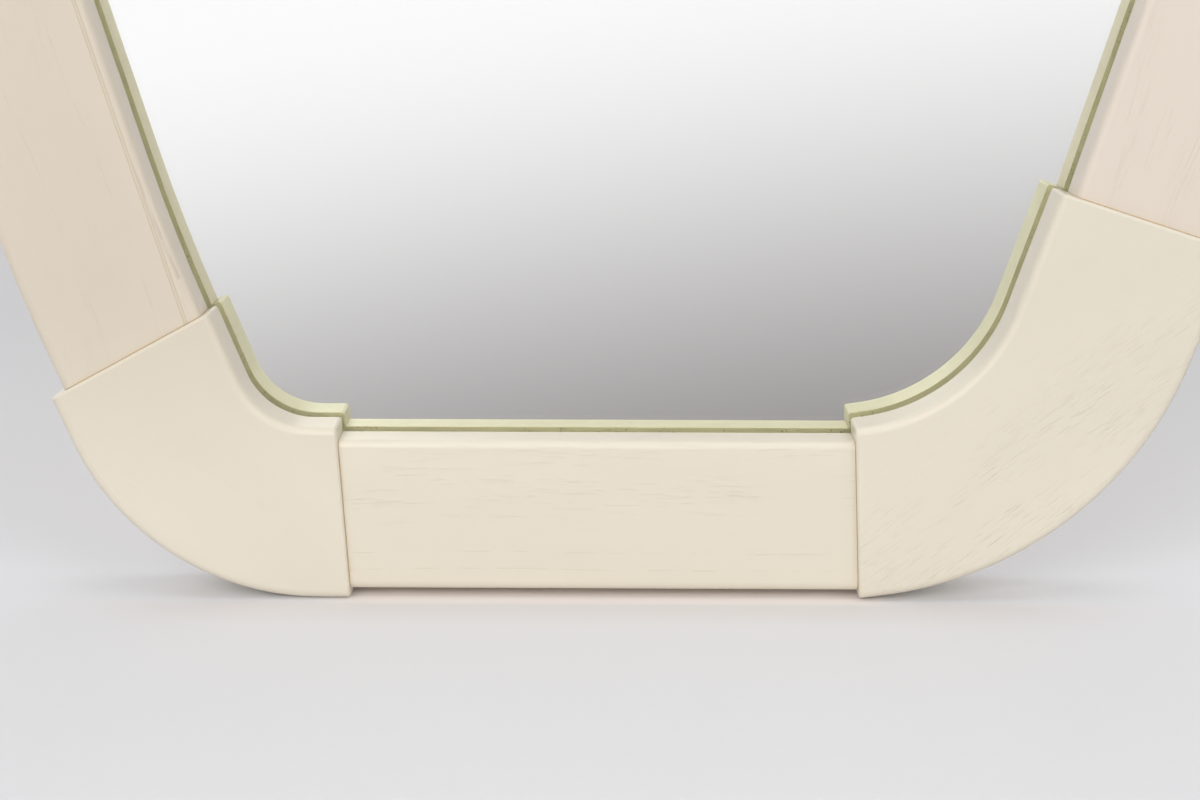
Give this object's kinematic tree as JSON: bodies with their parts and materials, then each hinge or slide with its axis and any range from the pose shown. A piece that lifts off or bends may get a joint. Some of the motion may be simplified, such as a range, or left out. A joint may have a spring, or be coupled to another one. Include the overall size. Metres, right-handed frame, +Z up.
{
  "type": "framed mirror",
  "caption": "Wall mirror in a cream painted wooden frame whose straight sides lean outwards, joined by thicker rounded elbows, with a backing board and hanging rings.",
  "frame": {"origin": "below the middle of the mirror, level with its lowest edge, half way through its depth", "axes": "+Z up along the mirror's height, +Y back towards the wall, +X to the right seen from the front"},
  "size_m": [0.7138, 0.0336, 0.7285],
  "materials": {
    "painted_wood": "cream open-pore paint",
    "bare_wood": "plain",
    "glass": "polished",
    "silvering": "silvered",
    "rubber": "matte",
    "card": "grey card",
    "plywood": "plain plywood",
    "pad_rubber": "matte",
    "brass": "satin",
    "screw_steel": "zinc plated",
    "plated_steel": "zinc plated"
  },
  "bodies": {
    "frame": {"bottom_rail": "painted_wood", "lower_left_elbow": "painted_wood", "left_stile": "painted_wood", "upper_left_elbow": "painted_wood", "top_rail": "painted_wood", "upper_right_elbow": "painted_wood", "right_stile": "painted_wood", "lower_right_elbow": "painted_wood", "dowels_lower_left": "bare_wood", "dowels_upper_left": "bare_wood", "dowels_upper_right": "bare_wood", "dowels_lower_right": "bare_wood", "mirror_pane": "glass", "silver_coat": "silvering", "setting_blocks": "rubber", "backing_card": "card", "backing_board": "plywood", "turn_button_screws": "screw_steel", "hanger_strap_left": "plated_steel", "hanger_strap_right": "plated_steel", "hanger_screws": "screw_steel", "wall_pads": "pad_rubber"},
    "turn_button_1": {"turn_button_1": "brass"},
    "turn_button_2": {"turn_button_2": "brass"},
    "turn_button_3": {"turn_button_3": "brass"},
    "turn_button_4": {"turn_button_4": "brass"},
    "turn_button_5": {"turn_button_5": "brass"},
    "turn_button_6": {"turn_button_6": "brass"},
    "turn_button_7": {"turn_button_7": "brass"},
    "turn_button_8": {"turn_button_8": "brass"},
    "turn_button_9": {"turn_button_9": "brass"},
    "hanger_ring_left": {"hanger_ring_left": "plated_steel"},
    "hanger_ring_right": {"hanger_ring_right": "plated_steel"}
  },
  "joints": [
    {"name": "turn_button_1_pivot", "type": "hinge", "parent": "frame", "child": "turn_button_1", "pos_m": [-0.00582, 0.01285, 0.0435], "axis": [0, 1, 0], "continuous": true},
    {"name": "turn_button_2_pivot", "type": "hinge", "parent": "frame", "child": "turn_button_2", "pos_m": [-0.20417, 0.01285, 0.2086], "axis": [0, 1, 0], "continuous": true},
    {"name": "turn_button_3_pivot", "type": "hinge", "parent": "frame", "child": "turn_button_3", "pos_m": [-0.24989, 0.01285, 0.37524], "axis": [0, 1, 0], "continuous": true},
    {"name": "turn_button_4_pivot", "type": "hinge", "parent": "frame", "child": "turn_button_4", "pos_m": [-0.2956, 0.01285, 0.54189], "axis": [0, 1, 0], "continuous": true},
    {"name": "turn_button_5_pivot", "type": "hinge", "parent": "frame", "child": "turn_button_5", "pos_m": [-0.13813, 0.01285, 0.68427], "axis": [0, 1, 0], "continuous": true},
    {"name": "turn_button_6_pivot", "type": "hinge", "parent": "frame", "child": "turn_button_6", "pos_m": [0.13813, 0.01285, 0.68427], "axis": [0, 1, 0], "continuous": true},
    {"name": "turn_button_7_pivot", "type": "hinge", "parent": "frame", "child": "turn_button_7", "pos_m": [0.29521, 0.01285, 0.54046], "axis": [0, 1, 0], "continuous": true},
    {"name": "turn_button_8_pivot", "type": "hinge", "parent": "frame", "child": "turn_button_8", "pos_m": [0.24793, 0.01285, 0.36811], "axis": [0, 1, 0], "continuous": true},
    {"name": "turn_button_9_pivot", "type": "hinge", "parent": "frame", "child": "turn_button_9", "pos_m": [0.20065, 0.01285, 0.19576], "axis": [0, 1, 0], "continuous": true},
    {"name": "hanger_ring_left_swing", "type": "hinge", "parent": "frame", "child": "hanger_ring_left", "pos_m": [-0.28358, 0.014, 0.47351], "axis": [1, 0, 0], "range_deg": [0, 175]},
    {"name": "hanger_ring_right_swing", "type": "hinge", "parent": "frame", "child": "hanger_ring_right", "pos_m": [0.28358, 0.014, 0.47351], "axis": [1, 0, 0], "range_deg": [0, 175]}
  ]
}
